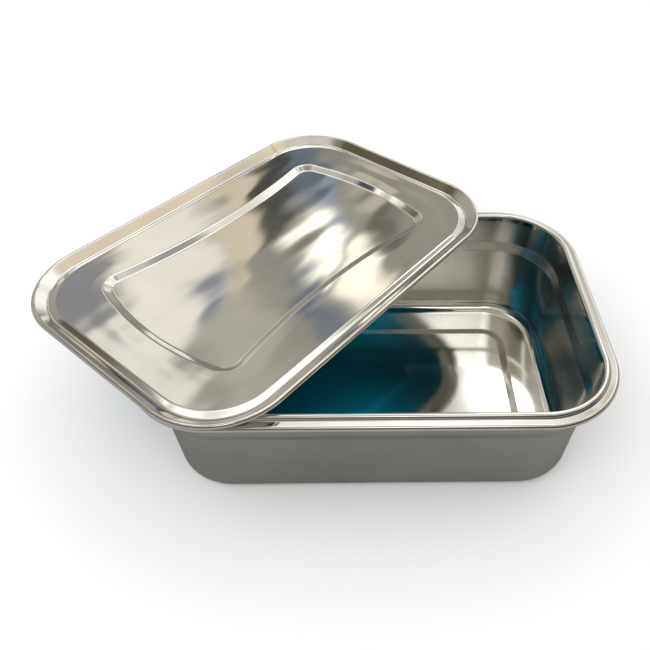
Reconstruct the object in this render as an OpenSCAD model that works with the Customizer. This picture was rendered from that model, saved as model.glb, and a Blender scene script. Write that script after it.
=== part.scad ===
// Deep instrument tray with a lift-off lid, both pressed from stainless steel sheet.
// The tray stands on z = 0 with its centre over the origin and its long side along X.
// The lid lies upside down and askew on the tray's rim, or closes it.

/* [Tray] */
// Length of the tray over its rolled edge
tray_l = 310; // [290:1:330]
// Width of the tray over its rolled edge
tray_w = 216; // [200:1:230]
// Height of the tray from the rest plane to the top of its rim
tray_h = 90; // [80:1:100]
// Corner radius of the tray over its rolled edge
tray_corner = 55; // [52:0.5:58]
// Thickness of the tray's sheet
tray_sheet = 0.8; // [0.7:0.05:0.9]

/* [Tray rim] */
// Radius of the rolled edge
roll_r = 2.2; // [2:0.1:2.4]
// Height of the rim's ridge above the flange
ridge_rise = 2.6; // [2.4:0.1:3]
// Radius over the top of the ridge
ridge_r = 2.2; // [2:0.1:2.4]
// Distance from the tray's edge to the top of the ridge
ridge_in = 8; // [7.8:0.1:8.5]

/* [Tray walls] */
// Slant of the walls from upright, in degrees
wall_draft = 6; // [5:0.5:7]
// Depth of the shoulder's upper edge below the top of the rim
shoulder_depth = 24; // [22:0.5:26]
// Height of the shoulder
shoulder_h = 7.4; // [6:0.2:8]
// Distance that the wall steps in by over the shoulder
shoulder_w = 2.9; // [2.5:0.1:3.2]
// Radius between the walls and the floor, on the inside
floor_fillet = 8; // [6:0.5:10]
// Distance from the tray's edge to the step in the floor
step_in = 48.3; // [46:0.1:50]
// Width of the step in the floor
step_w = 5.7; // [5:0.1:6.5]
// Height that the middle of the floor is raised by
step_rise = 0.8; // [0.5:0.1:1.2]

/* [Lid] */
// Gap between the closed lid's edge and the tray's edge, all round
lid_gap = 0.7; // [0.5:0.1:1]
// Thickness of the lid's sheet
lid_sheet = 0.7; // [0.6:0.05:0.8]
// Radius of the lid's rolled bead
bead_r = 1.8; // [1.6:0.1:2]
// Distance from the lid's edge to its outer ridge
lid_ridge_in = 9.6; // [9:0.1:10]
// Height of the outer ridge's underside above the underside of the bead
lid_ridge_h = 6; // [5.5:0.1:6.5]
// Distance from the lid's edge to the flat panel
panel_in = 14.2; // [13.5:0.1:15]
// Height of the flat panel's underside above the underside of the bead
panel_h = 4.7; // [4.3:0.1:5]

/* [Raised panel of the lid] */
// Height of the raised panel above the flat panel
boss_rise = 3.1; // [2.5:0.1:3.5]
// Width of its sloping side
boss_slope_w = 5.3; // [4.8:0.1:6]
// Half of its length
boss_half_l = 115; // [110:0.5:118]
// Half of its width at the waist
boss_half_w = 58; // [55:0.5:60]
// Radius of its long, hollow sides
boss_side_r = 494; // [450:1:600]
// Radius of its short, round ends
boss_end_r = 211; // [190:1:240]
// Radius of its corners
boss_corner_r = 15; // [12:0.5:18]

/* [Lid position] */
// Where the lid lies
lid_place = "resting"; // [resting, closed]
// Turn of the resting lid from the tray's long side, in degrees
lid_turn = 50.5; // [48:0.5:52]
// Offset of the resting lid's centre along the tray's length
lid_shift_x = -75.2; // [-78:0.1:-73]
// Offset of the resting lid's centre across the tray's width
lid_shift_y = 50; // [48:0.1:52]

/* [Hidden] */
$fn = 96;
corner_steps = 16; // facets round each corner of a pressed wall
arc_steps = 8; // facets across a bend in a sheet's section
lap = 2; // length by which a pressed wall runs into the sheet next to it
tuck = 0.1; // depth by which the lapped length lies below that sheet's faces
air = 0.1; // gap between two parts that rest on each other

// Tray rim: insets run in from the tray's edge, heights up from the rest plane
flange_z = tray_h - ridge_rise;
ridge_z = tray_h - ridge_r; // centre of the ridge's bend
groove_r = 1; // bend at the ridge's foot
groove_in = ridge_in - sqrt(pow(ridge_r + groove_r, 2) - pow(flange_z + groove_r - ridge_z, 2));
curl_end = 300; // angle at which the tray's rolled edge stops, under the flange
leg_h = 5; // length of wall that belongs to the rim

// Tray walls
mouth = [ridge_in + ridge_r * cos(wall_draft), ridge_z + ridge_r * sin(wall_draft)];
leg_z = mouth.y - leg_h;
shoulder_z = tray_h - shoulder_depth;
shoulder_in = wall_in(mouth, shoulder_z);
low_shoulder = [shoulder_in + shoulder_w, shoulder_z - shoulder_h];
foot_in = wall_in(low_shoulder, tray_sheet);
fillet_in = foot_in + floor_fillet * tan(45 - wall_draft / 2);
fillet_z = tray_sheet + floor_fillet;
shoulder_corner = 45; // corner radii of the inner surface, from the shoulder down
low_shoulder_corner = 43;
foot_corner = 39;
floor_corner = 37;
step_corner = 17.3;
step_margin = 6; // flat width of the floor's swept border past the step
floor_core_in = step_in + step_w + step_margin; // where the floor's swept border ends

// Lid: insets run in from the lid's edge, heights up from the bead's underside
lid_l = tray_l - 2 * lid_gap;
lid_w = tray_w - 2 * lid_gap;
lid_corner = tray_corner - lid_gap;
bead = [bead_r, bead_r];
lid_ridge = [lid_ridge_in, lid_ridge_h];
lid_curl_end = 60; // angle at which the lid's bead stops, above its slope
bead_to_ridge = lid_ridge - bead;
slope_start = 360 + atan2(bead_to_ridge.y, bead_to_ridge.x) - acos(bead_r / norm(bead_to_ridge));
lid_core_in = 22; // where the lid's swept border ends
boss_z = panel_h + boss_rise;
rest_lift = tray_h + boss_z + lid_sheet + air; // the resting lid's bead is this high

// ---- Outlines and sections ----

// Inset of a slanting wall at a height, from a point that it passes through
function wall_in(from, z) = from.x + (from.y - z) * tan(wall_draft);

// Points of an arc, from one angle to another
function arc(centre, r, from, to, steps) =
    [for (k = [0 : steps]) let (a = from + (to - from) * k / steps) centre + r * [cos(a), sin(a)]];

// Joins stretches of a path, and leaves out points that repeat
function joined(path) = [
    for (i = [0 : len(path) - 1])
    if (i == 0 || norm(path[i] - path[max(i - 1, 0)]) > 0.001) path[i]
];

// Points of a rounded rectangle, as many at any size
function rounded(l, w, r) =
    let (x = l / 2 - r, y = w / 2 - r)
    concat(
        arc([x, y], r, 0, 90, corner_steps),
        arc([-x, y], r, 90, 180, corner_steps),
        arc([-x, -y], r, 180, 270, corner_steps),
        arc([x, -y], r, 270, 360, corner_steps)
    );

// Lifts flat points to a height
function at_height(points, z) = [for (p = points) [p.x, p.y, z]];

// Directions along a path, and the path moved sideways by a distance to its left
function unit(v) = v / norm(v);
function left_of(v) = [-v.y, v.x];
function shifted(path, d) = [
    for (i = [0 : len(path) - 1])
    let (
        before = unit(path[max(i, 1)] - path[max(i, 1) - 1]),
        after = unit(path[min(i + 1, len(path) - 1)] - path[min(i + 1, len(path) - 1) - 1]),
        side = unit(left_of(before) + left_of(after))
    )
    path[i] + side * d / (side * left_of(before))
];

// Draws a sheet's section: the path is one face, and the other lies to its left
module sheet_section(path, thickness) {
    other = shifted(path, thickness);
    polygon(concat(path, [for (i = [len(other) - 1 : -1 : 0]) other[i]]));
}

// Sweeps a section, drawn with insets along x, round a rounded rectangle
module sweep_round(l, w, r) {
    for (side = [0 : 3]) {
        half_x = (side % 2 == 0 ? l : w) / 2;
        half_y = (side % 2 == 0 ? w : l) / 2 - r;
        rotate(90 * side) translate([half_x - r, half_y, 0]) {
            rotate_extrude(angle = 90) translate([r, 0]) mirror([1, 0]) children();
            translate([r, 0, 0]) rotate([90, 0, 0]) linear_extrude(2 * half_y) mirror([1, 0]) children();
        }
    }
}

// Draws a flat rounded rectangle with true arcs
module rounded_face(l, w, r) {
    square([l - 2 * r, w], center = true);
    square([l, w - 2 * r], center = true);
    for (x = [-1, 1], y = [-1, 1]) translate([x * (l / 2 - r), y * (w / 2 - r)]) circle(r);
}

// Skins a stack of rings, all with as many points, and joins the last ring to the first.
// The stack runs clockwise round a section that has the part's outside on its right.
module skin(rings) {
    n = len(rings[0]);
    m = len(rings);
    points = [for (ring = rings, p = ring) p];
    faces = [
        for (i = [0 : m - 1], j = [0 : n - 1])
        let (here = i * n, there = (i + 1) % m * n, k = (j + 1) % n)
        each [[here + j, here + k, there + k], [here + j, there + k, there + j]]
    ];
    polyhedron(points, faces, convexity = 10);
}

// ---- Tray ----

// One outline of the tray's wall at an inset, a height and a corner radius
function wall_ring(inset, z, r) = at_height(rounded(tray_l - 2 * inset, tray_w - 2 * inset, r), z);

// The wall's outline at a height near the rim, moved outwards by a distance
function leg_ring(z, out) =
    let (inset = wall_in(mouth, z))
    wall_ring(inset - out, z, tray_corner - inset + out);

// Outlines of the floor fillet on a radius about its centre, from the wall to the floor
function fillet_rings(r) = [
    for (p = arc([fillet_in, fillet_z], r, 180 + wall_draft, 270, arc_steps))
    let (share = (p.x - foot_in) / (fillet_in - foot_in))
    wall_ring(p.x, p.y, foot_corner + share * (floor_corner - foot_corner))
];

// Outlines of one face of the wall, from the rim down, moved outwards by a distance
function wall_face(out, tucked) = concat(
    [
        leg_ring(leg_z + lap, tucked),
        leg_ring(leg_z - lap, out),
        wall_ring(shoulder_in - out, shoulder_z, shoulder_corner + out),
        wall_ring(low_shoulder.x - out, low_shoulder.y, low_shoulder_corner + out)
    ],
    fillet_rings(floor_fillet + out),
    [wall_ring(fillet_in + 2 * lap, tray_sheet - tucked, floor_corner - 2 * lap)]
);

module tray_rim() {
    roll = [roll_r, flange_z - roll_r];
    groove = [groove_in, flange_z + groove_r];
    ridge = [ridge_in, ridge_z];
    meet = atan2(ridge.y - groove.y, ridge.x - groove.x);
    path = joined(concat(
        arc(roll, roll_r, curl_end, 90, 2 * arc_steps),
        arc(groove, groove_r, 270, 360 + meet, arc_steps),
        arc(ridge, ridge_r, 180 + meet, wall_draft, 2 * arc_steps),
        [[wall_in(mouth, leg_z), leg_z]]
    ));
    sweep_round(tray_l, tray_w, tray_corner) sheet_section(path, -tray_sheet);
}

module tray_wall() {
    inner = wall_face(0, tuck);
    outer = wall_face(tray_sheet, tray_sheet - tuck);
    skin(concat(outer, [for (i = [len(inner) - 1 : -1 : 0]) inner[i]]));
}

module tray_floor() {
    edge_in = fillet_in + lap;
    edge_corner = step_corner + step_in - edge_in;
    core_corner = step_corner + step_in - floor_core_in;
    path = [
        [0, 0],
        [step_in - edge_in, 0],
        [step_in + step_w - edge_in, step_rise],
        [floor_core_in - edge_in, step_rise]
    ];
    sweep_round(tray_l - 2 * edge_in, tray_w - 2 * edge_in, edge_corner) sheet_section(path, tray_sheet);
    translate([0, 0, step_rise]) linear_extrude(tray_sheet)
        rounded_face(tray_l - 2 * floor_core_in, tray_w - 2 * floor_core_in, core_corner);
}

module tray() {
    color("silver") union() {
        tray_rim();
        tray_wall();
        tray_floor();
    }
}

// ---- Lid ----

// Quarter outline of the raised panel, moved inwards by a distance
function boss_quarter(inward) =
    let (
        side_r = boss_side_r + inward,
        end_r = boss_end_r - inward,
        corner_r = boss_corner_r - inward,
        side = [0, boss_half_w + boss_side_r],
        end = [boss_half_l - boss_end_r, 0],
        apart = norm(side - end),
        reach_end = end_r - corner_r,
        reach_side = side_r + corner_r,
        along = (pow(reach_end, 2) - pow(reach_side, 2) + pow(apart, 2)) / (2 * apart),
        aside = sqrt(pow(reach_end, 2) - pow(along, 2)),
        way = unit(side - end),
        corner = end + way * along - left_of(way) * aside,
        to_end = atan2(corner.y - end.y, corner.x - end.x),
        to_side = atan2(side.y - corner.y, side.x - corner.x)
    )
    joined(concat(
        arc(end, end_r, 0, to_end, arc_steps),
        arc(corner, corner_r, to_end, to_side, arc_steps),
        arc(side, side_r, 180 + to_side, 270, arc_steps)
    ));

// Whole outline of the raised panel, from its four quarters
function boss_outline(inward) =
    let (q = boss_quarter(inward), n = len(q) - 1)
    concat(
        q,
        [for (i = [n - 1 : -1 : 0]) [-q[i].x, q[i].y]],
        [for (i = [1 : n]) [-q[i].x, -q[i].y]],
        [for (i = [n - 1 : -1 : 1]) [q[i].x, -q[i].y]]
    );

// Outlines of one face of the raised panel's slope, from its foot to its top
function boss_face(up, tucked) = [
    at_height(boss_outline(-lap), panel_h + tucked),
    at_height(boss_outline(0), panel_h + up),
    at_height(boss_outline(boss_slope_w), boss_z + up),
    at_height(boss_outline(boss_slope_w + lap), boss_z + tucked)
];

module lid_border() {
    path = concat(
        arc(bead, bead_r, lid_curl_end, slope_start, 2 * arc_steps),
        [lid_ridge, [panel_in, panel_h], [lid_core_in, panel_h]]
    );
    sweep_round(lid_l, lid_w, lid_corner) sheet_section(path, lid_sheet);
}

module lid_panel() {
    translate([0, 0, panel_h]) linear_extrude(lid_sheet) difference() {
        rounded_face(lid_l - 2 * lid_core_in, lid_w - 2 * lid_core_in, lid_corner - lid_core_in);
        polygon(boss_outline(-lap / 2));
    }
    translate([0, 0, boss_z]) linear_extrude(lid_sheet) polygon(boss_outline(boss_slope_w + lap / 2));
}

module lid_slope() {
    lower = boss_face(0, tuck);
    upper = boss_face(lid_sheet, lid_sheet - tuck);
    skin(concat(lower, [for (i = [len(upper) - 1 : -1 : 0]) upper[i]]));
}

module lid() {
    closed = lid_place == "closed";
    place = closed ? [0, 0, flange_z + air] : [lid_shift_x, lid_shift_y, rest_lift];
    turn = closed ? [0, 0, 0] : [180, 0, lid_turn];
    color("gainsboro") translate(place) rotate(turn) union() {
        lid_border();
        lid_panel();
        lid_slope();
    }
}

tray();
lid();
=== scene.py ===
import math

import bmesh
import bpy
import numpy as np
from mathutils import Matrix, Vector, noise


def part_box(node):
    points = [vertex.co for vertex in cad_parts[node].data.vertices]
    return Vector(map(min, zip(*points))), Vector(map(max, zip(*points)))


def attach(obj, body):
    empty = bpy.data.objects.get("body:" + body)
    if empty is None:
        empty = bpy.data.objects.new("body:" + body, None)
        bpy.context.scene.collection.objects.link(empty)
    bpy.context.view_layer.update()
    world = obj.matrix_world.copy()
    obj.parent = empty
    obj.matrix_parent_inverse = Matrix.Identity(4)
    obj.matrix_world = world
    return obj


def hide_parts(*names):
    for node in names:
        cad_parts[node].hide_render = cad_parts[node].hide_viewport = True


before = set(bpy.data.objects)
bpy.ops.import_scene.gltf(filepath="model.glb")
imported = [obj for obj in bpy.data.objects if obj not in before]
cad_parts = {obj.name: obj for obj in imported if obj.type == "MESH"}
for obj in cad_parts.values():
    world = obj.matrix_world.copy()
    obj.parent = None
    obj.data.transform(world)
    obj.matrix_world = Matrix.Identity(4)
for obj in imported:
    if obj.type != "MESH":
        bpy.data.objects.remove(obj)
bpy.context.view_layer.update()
MM = 0.001

# ---- Sizes in millimetres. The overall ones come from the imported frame. ----

TRAY_LO, TRAY_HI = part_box("tray")
TRAY_L = (TRAY_HI.x - TRAY_LO.x) / MM
TRAY_W = (TRAY_HI.y - TRAY_LO.y) / MM
TRAY_H = (TRAY_HI.z - TRAY_LO.z) / MM
TRAY_CORNER = 55.0
TRAY_SHEET = 0.8

# The rim: a rolled edge with its cut end tucked under, a flange, and a ridge with a groove at its foot
ROLL_R = 2.2
ROLL_CUT = math.radians(300)
RIDGE_RISE = 2.6
RIDGE_R = 2.2
RIDGE_IN = 8.0
GROOVE_R = 1.0

# The wall, with a shoulder below the rim
WALL_DRAFT = math.radians(6)
SHOULDER_DEPTH = 24.0
SHOULDER_H = 7.4
SHOULDER_W = 2.9
SHOULDER_BEND = 2.0

# The floor, with a low step all round its middle
FLOOR_FILLET = 8.0
STEP_IN = 48.3
STEP_W = 5.7
STEP_RISE = 0.8
STEP_BEND = 4.0

# Corner radius of the tray's inner face at insets from its edge
TRAY_CORNERS = [
    (0, TRAY_CORNER),
    (10.2, TRAY_CORNER - 10.2),  # mouth of the wall
    (12.5, 45),  # top of the shoulder
    (15.4, 43),  # foot of the shoulder
    (21.5, 39),  # foot of the wall
    (28.7, 37),  # inner end of the floor's fillet
    (STEP_IN, 17.3),
    (STEP_IN + STEP_W, 11.6),
    (62, 3.6),  # flat middle of the floor
]

# The lid, a little smaller than the tray all round. It lies upside down and turned on the rim.
LID_LO, LID_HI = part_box("lid")
LID_GAP = 0.7
LID_L = TRAY_L - 2 * LID_GAP
LID_W = TRAY_W - 2 * LID_GAP
LID_CORNER = TRAY_CORNER - LID_GAP
LID_SHEET = 0.7
LID_TURN = math.radians(50.5)

# Its border: a rolled bead and an outer ridge, given by its place before it is rounded
BEAD_R = 1.8
BEAD_CUT = math.radians(60)
LID_RIDGE = (9.6, 6.0)
LID_RIDGE_BEND = 2.6
PANEL_IN = 14.2
PANEL_H = 4.7
PANEL_BEND = 4.0
PANEL_CORNER = 42.0
PANEL_MARGIN = 6.0

# Corner radius of the lid's inner face at insets from its edge
LID_CORNERS = [
    (0, LID_CORNER),
    (LID_RIDGE[0], LID_CORNER - LID_RIDGE[0]),
    (PANEL_IN, PANEL_CORNER),
    (PANEL_IN + PANEL_MARGIN, PANEL_CORNER - PANEL_MARGIN),
]

# Its raised panel, with the flat strips on both sides of its slope
BOSS_RISE = 3.1
BOSS_SLOPE_W = 5.3
BOSS_HALF_L = 115.0
BOSS_HALF_W = 58.0
BOSS_SIDE_R = 494.0
BOSS_END_R = 211.0
BOSS_CORNER_R = 15.0
BOSS_BEND = 2.4
BOSS_OUTER_STRIP = 8
BOSS_INNER_STRIP = 7

# How far pressed sheet wanders from true, how wide its waves are, and where each face's pattern starts
WALL_DENT, WALL_WAVE, WALL_SEED = 0.12, 45, 3.1
FLOOR_DENT, FLOOR_WAVE, FLOOR_SEED = 0.15, 60, 7.7
PANEL_DENT, PANEL_WAVE, PANEL_SEED = 0.25, 55, 1.3

# Insets over which the dents of the wall and the floor set in
WALL_EASE = 2
FLOOR_EASE = 12

# ---- Fineness of the meshes ----

# Points round one quarter of an outline: half the short side, the corner, half the long side
SHORT_STEPS, CORNER_STEPS, LONG_STEPS = 14, 30, 20

# Points along the sections: steps of the named arcs, the angle of a bend's step, and the longest gaps
ROLL_STEPS, GROOVE_STEPS, RIDGE_STEPS, BEAD_STEPS = 22, 8, 18, 26
BEND_STEP = 0.14
TRAY_POINT_GAP = 5.0
LID_POINT_GAP = 3.0
SLOPE_POINT_GAP = 2.0

# Rings from the lid's border to its raised panel's slope, and from there inwards, which end at a share
# of the way to the middle
MARGIN_RINGS = 16
CROWN_RINGS = 28
CROWN_SHARE = 0.98

# Bounds of a ring's corner radius: the least one, and the share of half the ring's width it may take
LEAST_CORNER = 0.6
CORNER_SHARE = 0.98

# ---- Material slots of the two pieces ----

RIM, INNER_WALL, TRAY_FLOOR, OUTSIDE = range(4)
LID_EDGE, PANEL, RAISED_PANEL, FILM, LID_OUTER_EDGE = range(5)

# How far a finish runs on: the rim's past the wall's mouth, the floor's up its fillet, and the lid edge's
# onto the panel
RIM_RUN = 0.3
FLOOR_RUN = 2.2
LID_EDGE_RUN = 1

# ---- Steel and film ----

# How often the noise of a finish repeats: per metre, or for polishing lines round and across the sheet
ROLLED_LINES = (60, 1800, 60)
POLISHED_LINES = (9, 9, 2.2)
CLOUDS = 22.0
SCRATCH_CELLS = (30, 8, 30)
ROLLED_WAVES = (9, 30, 9)
PRESSED_WAVES = (24, 24, 24)

# Where scratches, worn bends and light clouds set in and are complete, and a scratch's width
SCRATCHED = (0.52, 0.6)
WORN = (0.52, 0.62)
LIGHT_CLOUD = (0.35, 0.65)
SCRATCH_WIDTH = 0.006

# What each adds to the roughness, and the shade of the steel between light clouds
CLOUD_ROUGHNESS = 0.08
SCRATCH_ROUGHNESS = 0.12
WORN_ROUGHNESS = 0.04
CLOUD_SHADE = 0.93

# Relief of the lines in metres, and the depth of a scratch as a share of it
LINE_RELIEF = 0.0002
SCRATCH_DEPTH = -0.6

# The film's two screen colours, its clouds, where they set in and are complete, the range of its roughness,
# its gloss and its small wrinkles
FILM_DEEP = (0, 96, 120)
FILM_LIGHT = (0, 124, 146)
FILM_CLOUDS = 18.0
FILM_DULL_CLOUD = (0.3, 0.7)
FILM_ROUGHNESS = (0.35, 0.5)
FILM_SPECULAR = 0.25
FILM_WRINKLES = 240.0
FILM_WRINKLE_H = 0.0004
FILM_WRINKLE_STRENGTH = 0.15

# ---- Studio ----

# The floor's half-width and drop in metres, its roughness, and its colours as seen and as mirrored; the
# mirrored one is a painted reflection, darker than the floor
FLOOR_REACH = 6.0
FLOOR_DROP = 0.0003
FLOOR_ROUGHNESS = 0.9
FLOOR_SEEN = (0.94, 0.94, 0.94, 1)
FLOOR_PAINTED_REFLECTION = (0.30, 0.30, 0.292, 1)

# The backdrop, a little brighter than white
BACKDROP = (1.06, 1.06, 1.06, 1)

# The camera: millimetres from the tray's axis and above its rim, turns, lens and the lens's shift
CAMERA_X, CAMERA_Y, CAMERA_ABOVE = -9.48, -378.35, 343.80
CAMERA_PITCH = math.radians(35.36)
CAMERA_YAW = math.radians(-1.60)
CAMERA_ROLL = math.radians(0.87)
CAMERA_LENS = 40.39
CAMERA_SENSOR = 36
CAMERA_SHIFT_X, CAMERA_SHIFT_Y = -0.0811, -0.1764
CAMERA_NEAR = 0.01

# What the steel mirrors: soft patches of the studio, as azimuth from +Y towards +X, elevation, half-width
# and half-height in degrees, softness, screen colour and brightness. Later ones lie over earlier ones.
# Their outlines wander by some degrees.
STUDIO_WANDER = 5.0
STUDIO_WANDER_SCALE = 16.0
STUDIO_BASE = (150, 146, 136)
STUDIO = [
    # ceiling and the bright band below it
    (0, 90, 400, 14, 0.6, (150, 147, 138), 1.0),
    (0, 67, 400, 9, 0.7, (210, 205, 193), 1.0),
    (22, 66, 52, 13, 0.6, (255, 253, 248), 1.35),
    (-55, 66, 16, 8, 0.7, (250, 248, 240), 1.3),
    # behind the camera
    (-170, 20, 60, 26, 0.5, (108, 104, 93), 1.0),
    (172, 60, 18, 5.5, 0.2, (255, 254, 250), 2.0),
    # to its left
    (-95, 50, 30, 14, 0.6, (132, 124, 108), 1.0),
    (-88, 47, 16, 7, 0.5, (96, 89, 73), 1.0),
    (-61, 54.5, 6, 2.8, 0.4, (252, 250, 243), 1.2),
    (-68, 58, 3, 2, 0.5, (58, 64, 76), 1.0),
    (-58, 45.5, 8, 4.5, 0.5, (98, 92, 74), 1.0),
    (-55, 18, 34, 18, 0.5, (168, 164, 154), 1.0),
    # to its right
    (84, 50, 26, 14, 0.6, (226, 213, 187), 1.0),
    (86, 45.5, 9, 3.6, 0.5, (130, 130, 134), 1.0),
    (76, 65, 11, 6, 0.5, (158, 158, 156), 1.0),
    (132, 12, 44, 20, 0.4, (40, 45, 45), 1.0),
    (62, 10, 24, 18, 0.6, (150, 146, 138), 1.0),
    # ahead of it and half right
    (-6, 14, 13, 16, 0.6, (126, 124, 119), 1.0),
    (28, 14, 20, 17, 0.6, (246, 243, 236), 1.2),
    (46, 40, 16, 14, 0.6, (250, 247, 240), 1.2),
    (35, 55, 4.5, 9, 0.5, (146, 138, 112), 1.0),
    # ahead of it, as the lid's panel mirrors it
    (-31, 36, 6, 9, 0.4, (138, 139, 143), 1.0),
    (-19, 38, 5.2, 8, 0.35, (236, 231, 219), 1.05),
    (-24, 45, 6, 4, 0.4, (236, 231, 221), 1.0),
    (-15.2, 42, 1.3, 3.2, 0.4, (128, 134, 146), 1.0),
    (-12, 45, 4.5, 4, 0.4, (176, 172, 161), 1.0),
    (-12, 34, 2.2, 7, 0.3, (212, 200, 176), 1.0),
    (-8.2, 32.0, 2.2, 5.6, 0.25, (72, 73, 69), 1.0),
    (-5.2, 31.5, 1.6, 3.4, 0.4, (100, 112, 122), 1.0),
    (-3.2, 34.4, 0.9, 2.2, 0.4, (140, 152, 172), 1.0),
    (-3.8, 38.6, 2.2, 2.3, 0.3, (255, 252, 236), 1.5),
    (0.8, 41.2, 2.6, 1.9, 0.3, (255, 249, 228), 1.3),
    (-5.6, 41.6, 1.4, 2.0, 0.4, (98, 108, 128), 1.0),
    (-1.4, 39.6, 0.5, 2.4, 0.5, (168, 172, 178), 1.0),
    (-2.8, 44.4, 2.2, 1.3, 0.4, (112, 120, 132), 1.0),
    (1.2, 32.8, 2.2, 1.8, 0.4, (196, 189, 174), 1.0),
    (2.4, 37.0, 2.0, 1.7, 0.4, (108, 106, 97), 1.0),
    (16.5, 37.0, 3.0, 7.0, 0.3, (255, 253, 246), 1.3),
    # the window that the tray's floor mirrors
    (21, 47.8, 9.5, 4.4, 0.1, (255, 255, 253), 2.4),
]


# ---- Paths through a sheet's section, as (inset, height) ----


def unit(v):
    return v / np.linalg.norm(v)


def arc(centre, r, start, end, steps):
    """Points of an arc, with its angles in radians."""
    a = np.linspace(start, end, steps + 1)
    return np.c_[centre[0] + r * np.cos(a), centre[1] + r * np.sin(a)]


def eased(steps):
    """Numbers from 0 to 1 that crowd together at both ends, so that bends next to them stay crisp."""
    return 0.5 - 0.5 * np.cos(np.linspace(0, math.pi, steps + 1))


def bent(points, radii):
    """A path through points, with each inner one rounded to its radius."""
    out = [np.array(points[0], float)[None]]
    for k in range(1, len(points) - 1):
        before, here, after = (np.array(points[i], float) for i in (k - 1, k, k + 1))
        u = unit(before - here)
        v = unit(after - here)
        half = math.acos(np.clip(u @ v, -1, 1)) / 2
        radius = radii[k - 1]
        centre = here + unit(u + v) * radius / math.sin(half)
        start = here + u * radius / math.tan(half)
        end = here + v * radius / math.tan(half)
        a0 = math.atan2(start[1] - centre[1], start[0] - centre[0])
        a1 = math.atan2(end[1] - centre[1], end[0] - centre[0])
        turn = (a1 - a0 + math.pi) % (2 * math.pi) - math.pi
        out.append(arc(centre, radius, a0, a0 + turn, max(3, int(abs(turn) / BEND_STEP))))
    out.append(np.array(points[-1], float)[None])
    return np.vstack(out)


def filled(path, gap):
    """The path with points added along its long straight stretches, and without repeated points."""
    out = [path[0]]
    for a, b in zip(path[:-1], path[1:]):
        length = np.linalg.norm(b - a)
        if length < 1e-6:
            continue
        steps = int(math.ceil(length / gap))
        if steps > 1:
            steps += 3
        out.extend(a + (b - a) * t for t in eased(steps)[1:])
    return np.array(out)


def offset_path(path, distance):
    """The path moved to its left by a distance."""
    ahead = np.diff(path, axis=0)
    ahead /= np.linalg.norm(ahead, axis=1)[:, None]
    before = np.vstack([ahead[:1], ahead])
    after = np.vstack([ahead, ahead[-1:]])
    left = np.c_[-(before + after)[:, 1], (before + after)[:, 0]]
    left /= np.linalg.norm(left, axis=1)[:, None]
    mitre = (left * np.c_[-before[:, 1], before[:, 0]]).sum(1)
    return path + left * (distance / mitre)[:, None]


# ---- Outlines seen from above ----


def whole(quarter):
    """A closed outline from its quarter, which runs from the right-hand end to the long side's middle."""
    second = quarter[-2::-1] * (-1, 1)
    half = np.vstack([quarter, second])
    return np.vstack([half, -half[1:-1]])


def rounded(length, width, r):
    """A rounded rectangle."""
    x = length / 2
    y = width / 2
    up = np.c_[np.full(SHORT_STEPS + 1, x), eased(SHORT_STEPS) * (y - r)]
    back = np.c_[(1 - eased(LONG_STEPS)) * (x - r), np.full(LONG_STEPS + 1, y)]
    corner = arc((x - r, y - r), r, 0, math.pi / 2, CORNER_STEPS)
    return whole(np.vstack([up, corner[1:-1], back]))


def boss_outline(inward):
    """The lid's raised panel, with hollow long sides and round ends, moved inwards by a distance."""
    side_r = BOSS_SIDE_R + inward
    end_r = BOSS_END_R - inward
    corner_r = BOSS_CORNER_R - inward
    side = np.array([0, BOSS_HALF_W + BOSS_SIDE_R])
    end = np.array([BOSS_HALF_L - BOSS_END_R, 0])
    apart = np.linalg.norm(side - end)
    way = unit(side - end)
    along = ((end_r - corner_r) ** 2 - (side_r + corner_r) ** 2 + apart**2) / (2 * apart)
    aside = math.sqrt((end_r - corner_r) ** 2 - along**2)
    corner = end + way * along + np.array([way[1], -way[0]]) * aside
    to_end = math.atan2(corner[1] - end[1], corner[0] - end[0])
    to_side = math.atan2(side[1] - corner[1], side[0] - corner[0])
    quarter = [
        arc(end, end_r, 0, to_end, SHORT_STEPS),
        arc(corner, corner_r, to_end, to_side, CORNER_STEPS)[1:-1],
        arc(side, side_r, math.pi + to_side, 1.5 * math.pi, LONG_STEPS),
    ]
    return whole(np.vstack(quarter))


# ---- Sheet metal meshes ----


def waviness(p, scale, seed):
    """Smooth unevenness between -1 and 1 at a point in millimetres."""
    return noise.noise(Vector((p[0] / scale + seed, p[1] / scale - seed, p[2] / scale)))


def sheet_faces(rings, n, zones, under_zones):
    """Faces of a closed sheet between two stacks of rings of n points, and each face's material slot."""
    under = rings * n
    k = np.arange(n)
    after = (k + 1) % n
    faces = []
    slots = []
    for i in range(rings - 1):
        a = i * n
        b = a + n
        faces.extend(np.c_[a + k, a + after, b + after, b + k].tolist())
        slots.extend([zones[i]] * n)
        faces.extend(np.c_[under + b + k, under + b + after, under + a + after, under + a + k].tolist())
        slots.extend([under_zones[i]] * n)
    # the sheet's cut end, then the middle of both faces
    faces.extend(np.c_[under + k, under + after, after, k].tolist())
    slots.extend([zones[0]] * n)
    last = (rings - 1) * n
    faces.append((last + k).tolist())
    faces.append((under + last + k[::-1]).tolist())
    slots.extend([zones[-1], under_zones[-1]])
    return faces, slots


def grain_vectors(top):
    """For each point of both faces: its turn round the outline as a unit vector, and its way across."""
    rings, n = len(top), len(top[0])
    steps = np.linalg.norm(np.diff(np.array(top)[:, 0], axis=0), axis=1)
    across = np.tile(np.repeat(np.concatenate([[0], np.cumsum(steps)]), n), 2)
    turn = np.tile(2 * math.pi * np.arange(n) / n, 2 * rings)
    return np.c_[np.cos(turn), np.sin(turn), across]


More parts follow.
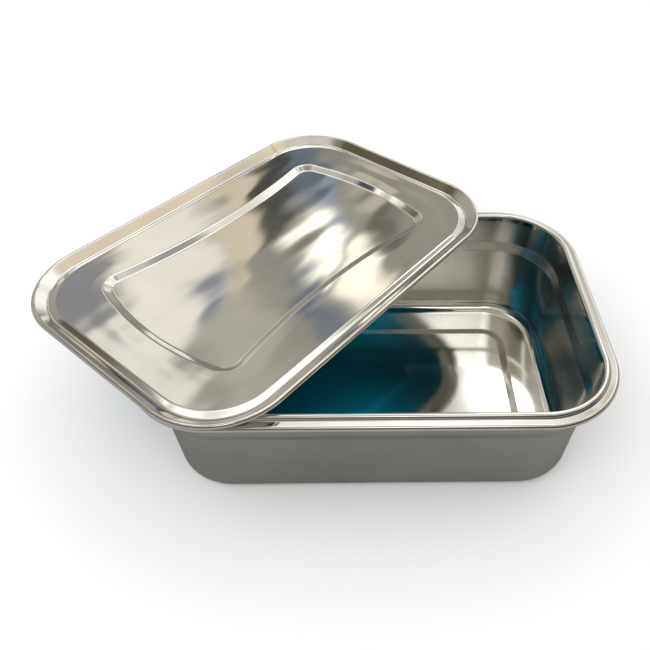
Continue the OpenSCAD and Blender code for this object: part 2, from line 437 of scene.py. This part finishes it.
def sheet_object(name, top, under, zones, under_zones, materials, matrix):
    """A closed sheet between two stacks of rings, with a material slot for each ring of both stacks."""
    points = np.vstack([np.vstack(top), np.vstack(under)]) * MM
    faces, slots = sheet_faces(len(top), len(top[0]), zones, under_zones)
    mesh = bpy.data.meshes.new(name)
    mesh.from_pydata(points.tolist(), [], faces)
    mesh.transform(matrix)
    for m in materials:
        mesh.materials.append(m)
    mesh.polygons.foreach_set("material_index", slots)
    for label, vectors in (("grain", grain_vectors(top)), ("sheet", points)):
        mesh.attributes.new(label, "FLOAT_VECTOR", "POINT").data.foreach_set("vector", vectors.ravel())
    work = bmesh.new()
    work.from_mesh(mesh)
    bmesh.ops.recalc_face_normals(work, faces=work.faces)
    work.to_mesh(mesh)
    work.free()
    mesh.shade_smooth()
    obj = bpy.data.objects.new(name, mesh)
    bpy.context.scene.collection.objects.link(obj)
    return obj


def stack(path, back, corners, length, width):
    """Rings of both faces of a sheet, whose section's faces are path and back. corners are path's."""
    insets, radii = zip(*corners)
    faces = []
    for line in (path, back):
        rings = []
        for (inset, z), (lead, _) in zip(line, path):
            r = max(float(np.interp(lead, insets, radii)) + lead - inset, LEAST_CORNER)
            r = min(r, CORNER_SHARE * (width / 2 - inset))
            flat = rounded(length - 2 * inset, width - 2 * inset, r)
            rings.append(np.c_[flat, np.full(len(flat), z)])
        faces.append(rings)
    return faces


def tray_path():
    """The tray's upper and inner face, from the rolled edge's cut end to the middle of the floor."""
    flange = TRAY_H - RIDGE_RISE
    ridge = (RIDGE_IN, TRAY_H - RIDGE_R)
    rise = flange + GROOVE_R - ridge[1]
    groove = (RIDGE_IN - math.sqrt((RIDGE_R + GROOVE_R) ** 2 - rise**2), flange + GROOVE_R)
    meet = math.atan2(ridge[1] - groove[1], ridge[0] - groove[0])
    slant = math.tan(WALL_DRAFT)
    mouth = (ridge[0] + RIDGE_R * math.cos(WALL_DRAFT), ridge[1] + RIDGE_R * math.sin(WALL_DRAFT))
    shoulder_z = TRAY_H - SHOULDER_DEPTH
    shoulder = (mouth[0] + (mouth[1] - shoulder_z) * slant, shoulder_z)
    low = (shoulder[0] + SHOULDER_W, shoulder_z - SHOULDER_H)
    foot = (low[0] + (low[1] - TRAY_SHEET) * slant, TRAY_SHEET)
    middle = TRAY_SHEET + STEP_RISE
    step = [(STEP_IN, TRAY_SHEET), (STEP_IN + STEP_W, middle)]
    corners = [mouth, shoulder, low, foot, *step, (TRAY_W / 2 - 1, middle)]
    bends = [SHOULDER_BEND, SHOULDER_BEND, FLOOR_FILLET, STEP_BEND, STEP_BEND]
    rim = np.vstack([
        arc((ROLL_R, flange - ROLL_R), ROLL_R, ROLL_CUT, math.pi / 2, ROLL_STEPS),
        arc(groove, GROOVE_R, 1.5 * math.pi, 2 * math.pi + meet, GROOVE_STEPS),
        arc(ridge, RIDGE_R, math.pi + meet, WALL_DRAFT, RIDGE_STEPS),
    ])
    return np.vstack([rim, bent(corners, bends)[1:]]), mouth, foot


def dent_tray(ring, wall, floor):
    """Makes a ring of the tray uneven, as far as it belongs to the pressed wall and the pressed floor."""
    for p in ring:
        side = unit(np.array([p[0] / TRAY_L, p[1] / TRAY_W, 0]) + 1e-9)
        p[:] += side * WALL_DENT * wall * (1 - floor) * waviness(p, WALL_WAVE, WALL_SEED)
        p[2] += FLOOR_DENT * floor * (0.5 + 0.5 * waviness(p * (1, 1, 0), FLOOR_WAVE, FLOOR_SEED))


def build_tray(materials):
    path, mouth, foot = tray_path()
    path = filled(path, TRAY_POINT_GAP)
    top, under = stack(path, offset_path(path, -TRAY_SHEET), TRAY_CORNERS, TRAY_L, TRAY_W)
    for rings in (top, under):
        for ring, (inset, _) in zip(rings, path):
            wall = np.clip((inset - mouth[0]) / WALL_EASE, 0, 1)
            floor = np.clip((inset - foot[0]) / FLOOR_EASE, 0, 1)
            dent_tray(ring, wall, floor)

    rim_end = mouth[0] + RIM_RUN
    floor_top = TRAY_SHEET + FLOOR_RUN
    zones = [RIM if inset < rim_end else TRAY_FLOOR if z < floor_top else INNER_WALL for inset, z in path]
    under_zones = [OUTSIDE] * len(path)
    return sheet_object("tray_pan", top, under, zones, under_zones, materials, Matrix.Identity(4))


def lid_path():
    """The lid's inner face, right side up, from the bead's cut end to the flat panel."""
    dx = LID_RIDGE[0] - BEAD_R
    dz = LID_RIDGE[1] - BEAD_R
    leave = 2 * math.pi + math.atan2(dz, dx) - math.acos(BEAD_R / math.hypot(dx, dz))
    bead = arc((BEAD_R, BEAD_R), BEAD_R, BEAD_CUT, leave, BEAD_STEPS)
    corners = [bead[-1], LID_RIDGE, (PANEL_IN, PANEL_H), (PANEL_IN + PANEL_MARGIN, PANEL_H)]
    return np.vstack([bead, bent(corners, [LID_RIDGE_BEND, PANEL_BEND])[1:]])


def panel_rings(border):
    """Rings of the lid's flat part, from its border to the middle.
    Each is (outline, rise, material slot, freedom to dent)."""
    slope_end = BOSS_SLOPE_W + BOSS_INNER_STRIP
    corners = [(-BOSS_OUTER_STRIP, 0), (0, 0), (BOSS_SLOPE_W, BOSS_RISE), (slope_end, BOSS_RISE)]
    slope = filled(bent(corners, [BOSS_BEND, BOSS_BEND]), SLOPE_POINT_GAP)
    foot = boss_outline(slope[0][0])
    crown = boss_outline(slope[-1][0])
    rings = []
    for t in eased(MARGIN_RINGS)[1:-1]:
        rings.append((border * (1 - t) + foot * t, 0.0, PANEL, t * t * (3 - 2 * t)))
    for inward, up in slope:
        rings.append((boss_outline(inward), up, RAISED_PANEL, 1.0))
    for t in (eased(CROWN_RINGS) * CROWN_SHARE)[1:]:
        rings.append((crown * (1 - t), BOSS_RISE, RAISED_PANEL, 1.0))
    return rings


def build_lid(materials):
    path = filled(lid_path(), LID_POINT_GAP)
    top, under = stack(path, offset_path(path, LID_SHEET), LID_CORNERS, LID_L, LID_W)
    zones = [LID_EDGE if inset < PANEL_IN + LID_EDGE_RUN else PANEL for inset, _ in path]
    for flat, up, zone, freedom in panel_rings(top[-1][:, :2]):
        for rings, height in ((top, PANEL_H), (under, PANEL_H + LID_SHEET)):
            ring = np.c_[flat, np.full(len(flat), height + up)]
            for p in ring:
                p[2] -= PANEL_DENT * freedom * (1 + waviness(p * (1, 1, 0), PANEL_WAVE, PANEL_SEED))
            rings.append(ring)
        zones.append(zone)

    under_zones = [LID_OUTER_EDGE if zone == LID_EDGE else FILM for zone in zones]
    centre = (LID_LO + LID_HI) / 2
    place = Matrix.Translation((centre.x, centre.y, LID_HI.z)) @ Matrix.Rotation(LID_TURN, 4, "Z")
    matrix = place @ Matrix.Rotation(math.pi, 4, "X")
    return sheet_object("lid_cover", top, under, zones, under_zones, materials, matrix)


# ---- Materials ----


def linear(*srgb):
    """A screen colour from 0 to 255 as linear light."""
    shares = [c / 255 for c in srgb]
    return tuple(c / 12.92 if c <= 0.04045 else ((c + 0.055) / 1.055) ** 2.4 for c in shares)


class Nodes:
    """Short forms for building a node tree."""

    def __init__(self, tree):
        self.tree = tree

    def add(self, kind, **settings):
        node = self.tree.nodes.new(kind)
        for key, value in settings.items():
            setattr(node, key, value)
        return node

    def put(self, value, socket):
        if isinstance(value, bpy.types.NodeSocket):
            self.tree.links.new(value, socket)
        else:
            socket.default_value = value

    def math(self, operation, *values):
        node = self.add("ShaderNodeMath", operation=operation)
        for value, socket in zip(values, node.inputs):
            self.put(value, socket)
        return node.outputs[0]

    def vector(self, operation, *values):
        node = self.add("ShaderNodeVectorMath", operation=operation)
        for value, socket in zip(values, node.inputs):
            self.put(value, socket)
        return node.outputs["Vector"]

    def mix(self, share, a, b):
        node = self.add("ShaderNodeMix", data_type="RGBA")
        self.put(share, node.inputs["Factor"])
        self.put(a, node.inputs["A"])
        self.put(b, node.inputs["B"])
        return node.outputs["Result"]

    def remap(self, value, low, high, to_low=0.0, to_high=1.0):
        node = self.add("ShaderNodeMapRange", interpolation_type="SMOOTHSTEP")
        for item, socket in zip((value, low, high, to_low, to_high), node.inputs):
            self.put(item, socket)
        return node.outputs[0]

    def noise(self, vector, scale, detail):
        node = self.add("ShaderNodeTexNoise")
        self.put(vector, node.inputs["Vector"])
        node.inputs["Scale"].default_value = scale
        node.inputs["Detail"].default_value = detail
        return node.outputs["Fac"]

    def attribute(self, name):
        return self.add("ShaderNodeAttribute", attribute_name=name).outputs["Vector"]

    def bump(self, height, strength, distance):
        node = self.add("ShaderNodeBump")
        node.inputs["Strength"].default_value = strength
        node.inputs["Distance"].default_value = distance
        self.put(height, node.inputs["Height"])
        return node


def new_material(name):
    material = bpy.data.materials.new(name)
    material.use_nodes = True
    nodes = Nodes(material.node_tree)
    return material, nodes, material.node_tree.nodes["Principled BSDF"]


def steel(name, colour, roughness, streaks, streak_bump, rolled=False, ripple=0.0):
    """Stainless steel with fine lines of polishing or rolling, clouds, hairline scratches and dulled bends.
    streaks is what its lines add to the roughness, streak_bump the strength of their relief, and ripple the
    height of its slow waves in millimetres."""
    material, n, shader = new_material(name)
    place = n.attribute("sheet")
    if rolled:
        lines_at = n.vector("MULTIPLY", place, ROLLED_LINES)
    else:
        lines_at = n.vector("MULTIPLY", n.attribute("grain"), POLISHED_LINES)
    lines = n.noise(lines_at, 1.0, detail=4.0)
    clouds = n.noise(place, CLOUDS, detail=3.0)
    cells = n.add("ShaderNodeTexVoronoi", feature="DISTANCE_TO_EDGE")
    n.put(n.vector("MULTIPLY", place, SCRATCH_CELLS), cells.inputs["Vector"])
    hairline = n.remap(cells.outputs["Distance"], 0.0, SCRATCH_WIDTH, 1, 0)
    scratch = n.math("MULTIPLY", hairline, n.remap(clouds, *SCRATCHED))
    worn = n.remap(n.add("ShaderNodeNewGeometry").outputs["Pointiness"], *WORN)

    rough = n.math("MULTIPLY_ADD", n.math("SUBTRACT", lines, 0.5), streaks, roughness)
    rough = n.math("MULTIPLY_ADD", n.math("SUBTRACT", clouds, 0.5), CLOUD_ROUGHNESS, rough)
    rough = n.math("MULTIPLY_ADD", scratch, SCRATCH_ROUGHNESS, rough)
    n.put(n.math("MULTIPLY_ADD", worn, WORN_ROUGHNESS, rough), shader.inputs["Roughness"])

    darker = tuple(c * CLOUD_SHADE for c in colour)
    tint = n.mix(n.remap(clouds, *LIGHT_CLOUD), (*darker, 1), (*colour, 1))
    n.put(tint, shader.inputs["Base Color"])
    shader.inputs["Metallic"].default_value = 1

    relief = n.math("ADD", lines, n.math("MULTIPLY", scratch, SCRATCH_DEPTH))
    bump = n.bump(relief, streak_bump, LINE_RELIEF)
    drawn_out = ROLLED_WAVES if rolled else PRESSED_WAVES
    unevenness = n.noise(n.vector("MULTIPLY", place, drawn_out), 1.0, detail=1.0)
    waves = n.bump(unevenness, 1.0, ripple * MM)
    n.put(waves.outputs["Normal"], bump.inputs["Normal"])
    n.put(bump.outputs["Normal"], shader.inputs["Normal"])
    return material


def film(name):
    """The thin blue-green film that protects the outer face of new sheet."""
    material, n, shader = new_material(name)
    place = n.attribute("sheet")
    clouds = n.noise(place, FILM_CLOUDS, detail=3.0)
    colour = n.mix(clouds, (*linear(*FILM_DEEP), 1), (*linear(*FILM_LIGHT), 1))
    n.put(colour, shader.inputs["Base Color"])
    n.put(n.remap(clouds, *FILM_DULL_CLOUD, *FILM_ROUGHNESS), shader.inputs["Roughness"])
    shader.inputs["Specular IOR Level"].default_value = FILM_SPECULAR
    creases = n.noise(place, FILM_WRINKLES, detail=3.0)
    wrinkles = n.bump(creases, FILM_WRINKLE_STRENGTH, FILM_WRINKLE_H)
    n.put(wrinkles.outputs["Normal"], shader.inputs["Normal"])
    return material


# ---- The studio's parts ----


def studio_directions(n):
    """Azimuth and elevation of a ray in degrees, made slightly uneven."""
    way = n.add("ShaderNodeTexCoord").outputs["Generated"]
    split = n.add("ShaderNodeSeparateXYZ")
    n.put(way, split.inputs[0])
    x, y, z = split.outputs
    azimuth = n.math("DEGREES", n.math("ARCTAN2", x, y))
    elevation = n.math("DEGREES", n.math("ARCSINE", z))
    uneven = n.add("ShaderNodeTexNoise")
    n.put(way, uneven.inputs["Vector"])
    uneven.inputs["Scale"].default_value = STUDIO_WANDER_SCALE
    centred = n.vector("SUBTRACT", uneven.outputs["Color"], (0.5, 0.5, 0.5))
    wander = n.vector("MULTIPLY", centred, (STUDIO_WANDER,) * 3)
    shift = n.add("ShaderNodeSeparateXYZ")
    n.put(wander, shift.inputs[0])
    return n.math("ADD", azimuth, shift.outputs[0]), n.math("ADD", elevation, shift.outputs[1])


def add_world():
    """The studio as the steel mirrors it; the camera and matt faces only see the pale backdrop."""
    world = bpy.data.worlds.new("studio")
    bpy.context.scene.world = world
    world.use_nodes = True
    n = Nodes(world.node_tree)
    azimuth, elevation = studio_directions(n)
    colour = (*linear(*STUDIO_BASE), 1)
    for az, el, wide, high, soft, screen, power in STUDIO:
        aside = n.math("DIVIDE", n.math("WRAP", n.math("SUBTRACT", azimuth, az), -180, 180), wide)
        above = n.math("DIVIDE", n.math("SUBTRACT", elevation, el), high)
        away = n.math("SQRT", n.math("ADD", n.math("POWER", aside, 2), n.math("POWER", above, 2)))
        inside = n.remap(away, 1 - soft, 1 + soft, 1, 0)
        colour = n.mix(inside, colour, (*(c * power for c in linear(*screen)), 1))
    ray = n.add("ShaderNodeLightPath").outputs
    seen = n.math("MAXIMUM", ray["Is Camera Ray"], ray["Is Diffuse Ray"])
    background = world.node_tree.nodes["Background"]
    n.put(n.mix(seen, colour, BACKDROP), background.inputs["Color"])


def add_floor():
    """A pale floor. Steel mirrors it in a darker grey than the camera sees: a painted reflection."""
    mesh = bpy.data.meshes.new("floor")
    corners = [(x * FLOOR_REACH, y * FLOOR_REACH, 0) for x, y in ((-1, -1), (1, -1), (1, 1), (-1, 1))]
    mesh.from_pydata(corners, [], [(0, 1, 2, 3)])
    floor = bpy.data.objects.new("floor", mesh)
    floor.location.z = -FLOOR_DROP
    material, n, shader = new_material("floor")
    mirrored = n.add("ShaderNodeLightPath").outputs["Is Glossy Ray"]
    # painted reflection: glossy rays see the floor darker than the camera does
    n.put(n.mix(mirrored, FLOOR_SEEN, FLOOR_PAINTED_REFLECTION), shader.inputs["Base Color"])
    shader.inputs["Roughness"].default_value = FLOOR_ROUGHNESS
    mesh.materials.append(material)
    bpy.context.scene.collection.objects.link(floor)


def add_light(name, place, aim, size, power, spread=180):
    """A soft area light that neither the camera nor the steel sees."""
    light = bpy.data.lights.new(name, "AREA")
    light.energy = power
    light.size = size
    light.spread = math.radians(spread)
    obj = bpy.data.objects.new(name, light)
    obj.location = place
    obj.rotation_euler = (Vector(aim) - Vector(place)).to_track_quat("-Z", "Y").to_euler()
    obj.visible_glossy = False
    obj.visible_camera = False
    bpy.context.scene.collection.objects.link(obj)


def add_camera():
    """The camera stands before the tray's long side and looks down into it, with a shifted lens."""
    cam = bpy.data.cameras.new("camera")
    cam.sensor_width = CAMERA_SENSOR
    cam.lens = CAMERA_LENS
    cam.shift_x = CAMERA_SHIFT_X
    cam.shift_y = CAMERA_SHIFT_Y
    cam.clip_start = CAMERA_NEAR
    turn = Matrix.Rotation(CAMERA_YAW, 3, "Z") @ Matrix.Rotation(-CAMERA_PITCH, 3, "X")
    right, ahead, up = (column.copy() for column in turn.col)
    tilted_right = right * math.cos(CAMERA_ROLL) + up * math.sin(CAMERA_ROLL)
    tilted_up = up * math.cos(CAMERA_ROLL) - right * math.sin(CAMERA_ROLL)
    place = Matrix((tilted_right, tilted_up, -ahead)).transposed().to_4x4()
    place.translation = Vector((CAMERA_X, CAMERA_Y, CAMERA_ABOVE + TRAY_H)) * MM
    obj = bpy.data.objects.new("camera", cam)
    obj.matrix_world = place
    bpy.context.scene.collection.objects.link(obj)
    bpy.context.scene.camera = obj


# ---- The scene ----


def stand_for(obj, node):
    """The piece takes a CAD node's place, and its body, which is named after the node."""
    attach(obj, node)
    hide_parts(node)


def add_steelware():
    """The tray and its lid, each with its materials in the order of its slots."""
    tray = build_tray([
        steel("rim_steel", linear(250, 249, 247), 0.06, 0.04, 0.02),
        steel("inner_wall_steel", linear(245, 244, 241), 0.2, 0.06, 0.03, ripple=0.2),
        steel("tray_floor_steel", linear(240, 239, 235), 0.09, 0.04, 0.02, rolled=True),
        # painted shade: the outside's base colour is darker than the inside's, though the steel is the
        # same; its rougher satin finish is its own
        steel("outer_steel_painted_shade", linear(214, 213, 209), 0.30, 0.10, 0.06, ripple=0.2),
    ])
    stand_for(tray, "tray")
    lid = build_lid([
        steel("lid_edge_steel", linear(249, 248, 246), 0.05, 0.03, 0.015),
        steel("lid_panel_steel", linear(249, 248, 246), 0.07, 0.03, 0.01, rolled=True, ripple=0.55),
        steel("raised_panel_steel", linear(249, 248, 246), 0.07, 0.03, 0.01, rolled=True, ripple=0.75),
        film("outer_film"),
        # painted shade: the lid's outer edge gets a darker base colour than its inner face; its rougher
        # finish is its own
        steel("lid_outer_edge_steel_painted_shade", linear(216, 214, 209), 0.32, 0.08, 0.05),
    ])
    stand_for(lid, "lid")


add_steelware()
add_floor()
add_world()
add_light("key", place=(-0.9, -0.8, 1.6), aim=(0, 0, 0), size=1.4, power=9)
# the light that a bright floor throws up at the lid's downward face
add_light("bounce", place=(0.03, -0.05, 0.012), aim=(-0.01, 0.0, 0.1), size=0.06, power=0.05, spread=75)
add_camera()
bpy.context.scene.view_settings.view_transform = "Standard"
